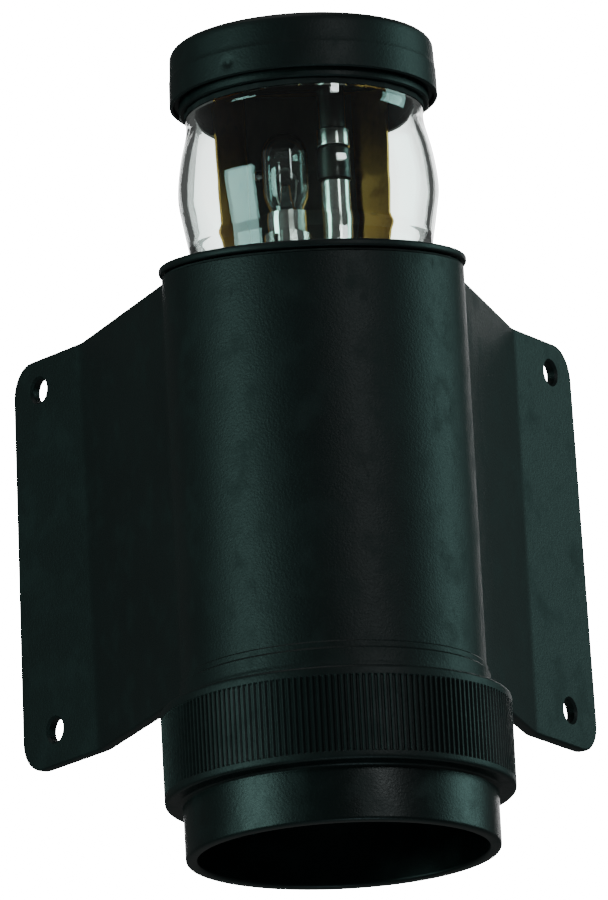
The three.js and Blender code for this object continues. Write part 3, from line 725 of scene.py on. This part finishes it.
def makeBase():
    c, thread = collar, baseThread
    half = c["thickness"] / 2
    low, high = c["centre"] - half, c["centre"] + half

    def shape(turn, r, z):
        level = z + r * sin(turn) * tan(radians(tilt)) if z >= low - 0.01 else z
        if abs(r - c["bore"]) < 0.01 and z < low:
            r -= thread["depth"] * ridge(turn, z, thread["pitch"], thread["start"], thread["end"])
        return r, level

    flange = softened([(c["cup"], low), (c["radius"], low), (c["radius"], high), (c["bore"], high)],
        0.62, 5)[5:-5]
    profile = [(0, c["cupBottom"]), (c["cup"] - 0.4, c["cupBottom"]),
        (c["cup"], c["cupBottom"] + 0.4), (c["cup"], 119),
               (c["cup"], low), *flange, (c["bore"] + 0.5, high), (c["bore"], high - 0.5),
               *[(c["bore"], z) for z in rows(121.6, 115, 0.2)], (c["bore"], c["floor"]),
                   (0, c["floor"])]
    body = solid("masthead_collar", lathe(profile, 256, shape))

    def hole(radius, x, y):
        return lathe([(0, 108), (radius, 108), (radius, 118), (0, 118)], 24, centre=(x, y))

    holes = [hole(1.5, side * 13, -7) for side in (-1, 1)] + [hole(0.9, side * 8, 14) for side in (-1, 1)]
    holes += ([hole(1.5, *(heading(angle) * bosses["ring"])) for angle in bosses["angles"]]
              + [hole(2, -4.6, 0)])
    carved(body, holes)
    return fitted(body, "housing", ["masthead_base"], "black_plastic")


makeBase()
print("collar made")


# ---- masthead lens and cap ----

lens = {
    "spigotBottom": 115.8, "spigotTop": 121.6, "root": 24.9, "inner": 22.7, "wall": 1.9,
    # radius and height of the outside, from its shoulder up
    "outside": [(25.2, 121.6), (25.2, 128.6), (26.35, 135.2), (27.0, 140.5), (26.25, 147.2),
        (24.75, 153.6), (24.6, 156.8)],
}
lensThread = {"pitch": 2, "depth": 1.0, "start": 117.2, "end": 120.6}
cap = {
    "bottom": 159.7, "top": 172, "low": 27.8, "high": 27.4, "rimInner": 26.9, "recess": 160.5,
        "boss": 25.9,
    "bossBottom": 158.1, "hollow": 22.6, "ceiling": 168.4, "crown": 0.25,
    "dimpleTurn": -127.5, "dimpleHeight": 162.5, "dimpleDepth": 0.45,
}


def curved(points, steps):
    # a smooth line through the points
    ends = [Vector(points[0]) * 2 - Vector(points[1])] + [Vector(p) for p in points]
    ends.append(Vector(points[-1]) * 2 - Vector(points[-2]))
    line = []
    for a, b, c, d in zip(ends, ends[1:], ends[2:], ends[3:]):
        for i in range(steps):
            t = i / steps
            line.append(tuple(0.5 * (2 * b + (c - a) * t + (2 * a - 5 * b + 4 * c - d) * t * t
                + (3 * b - 3 * c + d - a) * t ** 3)))
    return line + [tuple(points[-1])]


def makeLens():
    def shape(turn, r, z):
        if abs(r - lens["root"]) < 0.01 and z < lens["spigotTop"]:
            r += lensThread["depth"] * ridge(turn, z, lensThread["pitch"], lensThread["start"],
                lensThread["end"])
        return r, z

    outside = [(lens["outside"][0][0], lens["spigotTop"])] + curved(lens["outside"][1:], 5)
    inside = [(r - lens["wall"], z) for r, z in reversed(outside[1:])]
    profile = [
        (lens["inner"], lens["spigotBottom"]), (lens["root"], lens["spigotBottom"]),
        *[(lens["root"], z) for z in rows(lens["spigotBottom"] + 0.4, lens["spigotTop"] - 0.1, 0.2)],
            *outside, *inside,
        *[(lens["inner"], z) for z in rows(127, 118, 3)]]
    made = solid("masthead_lens_moulding", lathe(profile, 192, shape))
    return fitted(made, "lens_and_cap", ["masthead_lens"], "lens_clear", sharpAngle=32)


def makeCap():
    c = cap
    mark = radians(c["dimpleTurn"])

    def shape(turn, r, z):
        if r > c["high"] - 0.3 and z < 166:
            aside = ((turn - mark + pi) % tau - pi) * r
            spread = (aside ** 2 + (z - c["dimpleHeight"]) ** 2) / 0.9 ** 2
            r -= c["dimpleDepth"] * exp(-spread)
        return r, z

    side = [(c["low"] + (c["high"] - c["low"]) * i / 12, c["bottom"] + 0.4 + 9.3 * i / 12)
        for i in range(13)]
    fine = [(c["low"] - 0.02 * (z - c["bottom"]), z) for z in rows(160.4, 165.2, 0.35)]
    profile = [
        (0, c["ceiling"]), (c["hollow"] - 0.6, c["ceiling"]), (c["hollow"], c["ceiling"] - 0.6),
            (c["hollow"], c["bossBottom"]),
        (c["boss"] - 0.3, c["bossBottom"]), (c["boss"], c["bossBottom"] + 0.3),
            (c["boss"], c["recess"]),
        (c["rimInner"], c["recess"]), (c["rimInner"], c["bottom"] + 0.25),
            (c["rimInner"] + 0.2, c["bottom"]),
        (c["low"] - 0.3, c["bottom"]), (c["low"], c["bottom"] + 0.3), *fine,
            *[p for p in side if p[1] > 165.4],
        *[(c["high"] - 2.0 + 2.0 * cos(radians(a)), c["top"] - c["crown"] - 2.0 + 2.0 * sin(radians(a)))
          for a in range(15, 91, 15)],
        (17, c["top"] - c["crown"] / 3), (8, c["top"] - 0.03), (0, c["top"])]
    made = solid("masthead_cap_moulding", lathe(profile, 288, shape))
    return fitted(made, "lens_and_cap", ["masthead_cap"], "black_plastic", capFinish)


makeLens()
makeCap()
print("lens and cap made")


# ---- what stands inside the lens ----

shield = {
    "back": 17.6, "half": 12.2, "wingX": 18.6, "wingY": 10.6, "sheet": 0.6, "bottom": 114.4,
        "top": 166, "lean": 1.8,
}
lamp = {"x": -4.6, "glass": 4.8, "neck": 3.5, "baseTop": 136.3, "tip": 153.2, "wall": 0.5}
post = {"x": 5.6, "radius": 3.1, "collar": 3.5, "sleeveTop": 142.5, "collarTop": 149.4,
    "capTop": 153.4, "floor": 114.5,
        "rod": 2.9, "top": 166}


def makeShield():
    s = shield
    corners = [(-s["wingX"], s["wingY"]), (-s["half"], s["back"]), (s["half"], s["back"]),
        (s["wingX"], s["wingY"])]
    outline, sheet = [], s["sheet"]
    for offset in (0, sheet):
        line = [Vector(c) for c in corners]
        pushed = [Vector((p.x + offset * (0.75 if p.x > 0 else -0.75) * (i in (0, 3)),
            p.y + offset * (0.66 if i in (0, 3) else 1)))
                  for i, p in enumerate(line)]
        smooth = [pushed[0]]
        for i in (1, 2):
            smooth += [pushed[i].lerp(pushed[i - 1], 0.16),
                pushed[i].lerp(pushed[i - 1], 0.05).lerp(pushed[i].lerp(pushed[i + 1], 0.02), 0.5),
                       pushed[i].lerp(pushed[i + 1], 0.06)]
        smooth.append(pushed[3])
        outline.append(smooth)
    loop = outline[0] + outline[1][::-1]
    levels = rows(s["bottom"], s["top"], 4)
    points, faces = [], []
    for z in levels:
        shrink = 1 - s["lean"] / s["wingX"] * (s["top"] - z) / (s["top"] - s["bottom"])
        points += [Vector((p.x * shrink, p.y, z)) for p in loop]
    n = len(loop)
    for k in range(len(levels) - 1):
        faces += [[k * n + i, k * n + (i + 1) % n, (k + 1) * n + (i + 1) % n, (k + 1) * n + i]
            for i in range(n)]
    for base in (0, (len(levels) - 1) * n):
        half = n // 2
        faces += [[base + i, base + i + 1, base + n - 2 - i, base + n - 1 - i] for i in range(half - 1)]
    fitted(solid("bronze_shield", (points, faces)), "housing", ["light_shield"], "shield_bronze",
        sharpAngle=30)


def makeLamp():
    l = lamp

    def outline(inset):
        crown = l["tip"] - l["glass"]
        r = l["glass"] - inset
        lower = [(l["neck"] - inset, l["baseTop"] - 2), (l["neck"] - inset, l["baseTop"]),
                 (l["neck"] + 0.3 - inset, l["baseTop"] + 1), (r - 0.35, l["baseTop"] + 2.6),
                     (r, l["baseTop"] + 4)]
        round_ = [(r * cos(radians(a)), crown + r * sin(radians(a))) for a in range(0, 81, 10)]
        return lower + round_ + [(0, crown + r)]

    shell = list(reversed(outline(l["wall"]))) + outline(0)
    fitted(solid("masthead_bulb", lathe(shell, 64, centre=(l["x"], 0))), "lamp", ["lamp_glass"],
        "glass_clear", sharpAngle=60)
    supports = [[(l["x"] + s * 1.2, 0, 137), (l["x"] + s * 1.9, 0, 139.5),
        (l["x"] + s * 2.3, 0, 143.2)] for s in (-1, 1)]
    winding = []
    for i in range(241):
        t = i / 240
        winding.append((l["x"] - 2.3 + 4.6 * t, 0.34 * cos(tau * 16 * t),
            143.3 + 2.6 * sin(pi * t) + 0.34 * sin(tau * 16 * t)))
    wires = [strand(path, 0.2, 8) for path in supports] + [strand(winding, 0.11, 6)]
    fitted(solid("bulb_filament", together(*wires)), "lamp", ["lamp_filament"], "filament",
        sharpAngle=60)


def makePost():
    p = post
    centre = (p["x"], 0)
    sleeve = softened([(0, p["floor"]), (p["radius"], p["floor"]), (p["radius"], p["sleeveTop"]),
        (1.5, p["sleeveTop"]),
                       (1.5, 152.4), (0, 152.4)], 0.3)
    fitted(solid("return_sleeve", lathe(sleeve, 64, centre=centre)), "housing", ["return_post"],
        "nickel_plate")
    collarShape = softened([(1.8, 142.8), (p["collar"], 142.8), (p["collar"], p["collarTop"]),
        (1.8, p["collarTop"])], 0.35)
    fitted(solid("post_sleeve", lathe(collarShape, 64, centre=centre)), "housing", ["post_insulator"],
        "dark_phenolic")
    top = softened([(0, 152.7), (1.8, 152.7), (1.8, 149.7), (p["collar"], 149.7),
        (p["collar"], p["capTop"]),
                    (p["rod"], p["capTop"]), (p["rod"], p["top"]), (0, p["top"])], 0.3)
    fitted(solid("post_nut", lathe(top, 64, centre=centre)), "housing", ["post_cap"], "nickel_plate")


def makeGrommet():
    profile = softened([(3.6, 24.6), (7.0, 24.6), (7.0, 26.2), (4.9, 26.2), (4.9, 31.6), (8.0, 31.6),
        (7.6, 33.0), (4.2, 33.8)], 0.35)
    shape = moved(lathe(profile, 72), pointingBack(0, 0, cableHole["height"]))
    fitted(solid("cable_inlet_grommet", shape), "housing", ["cable_grommet"], "black_rubber")


makeShield()
makeLamp()
makePost()
makeGrommet()
print("inside of the lens made")


# ---- finishes of the CAD pieces that stay ----

for entry in frame["record"]["subparts"]:
    node = frame["nodes"][entry["node"]]
    node.data.materials.clear()
    node.data.materials.append(finishes[entry["material_slot"]])


# ---- stage ----

def makeStage():
    finish = Finish("pale floor")
    tone = finish.noise(400, 3).within(0.3, 0.7)
    material = finish.surface(Base_Color=finish.blend(tone, floorLook["shade"],
        colour(0.82, 0.82, 0.81)), Roughness=0.8)
    half = floorLook["size"] / 2
    mesh = bpy.data.meshes.new("floor")
    mesh.from_pydata([(x, y, floorLook["height"]) for x,
        y in ((-half, -half), (half, -half), (half, half), (-half, half))],
                     [], [(0, 1, 2, 3)])
    mesh.materials.append(material)
    floor = bpy.data.objects.new("floor", mesh)
    bpy.context.scene.collection.objects.link(floor)
    world = bpy.data.worlds.new("studio")
    world.use_nodes = True
    tree = world.node_tree
    # The backdrop is white, greyer through the clear parts, and the room that lights everything is dim.
    ray = tree.nodes.new("ShaderNodeLightPath")
    bounces = tree.nodes.new("ShaderNodeMath")
    tree.links.new(ray.outputs["Glossy Depth"], bounces.inputs[0])
    tree.links.new(ray.outputs["Diffuse Depth"], bounces.inputs[1])
    brightness = tree.nodes.new("ShaderNodeMapRange")
    brightness.inputs["To Min"].default_value = roomLook["throughClear"]
    brightness.inputs["To Max"].default_value = roomLook["asLight"]
    tree.links.new(bounces.outputs[0], brightness.inputs["Value"])
    total = tree.nodes.new("ShaderNodeMath")
    total.operation = "MULTIPLY_ADD"
    tree.links.new(ray.outputs["Is Camera Ray"], total.inputs[0])
    total.inputs[1].default_value = roomLook["asBackdrop"]
    tree.links.new(brightness.outputs[0], total.inputs[2])
    tree.links.new(total.outputs[0], tree.nodes["Background"].inputs["Strength"])
    tree.nodes["Background"].inputs["Color"].default_value = (0.98, 1.0, 0.99, 1)
    bpy.context.scene.world = world


makeCamera()
makeLights()
makeStage()
print("stage made")
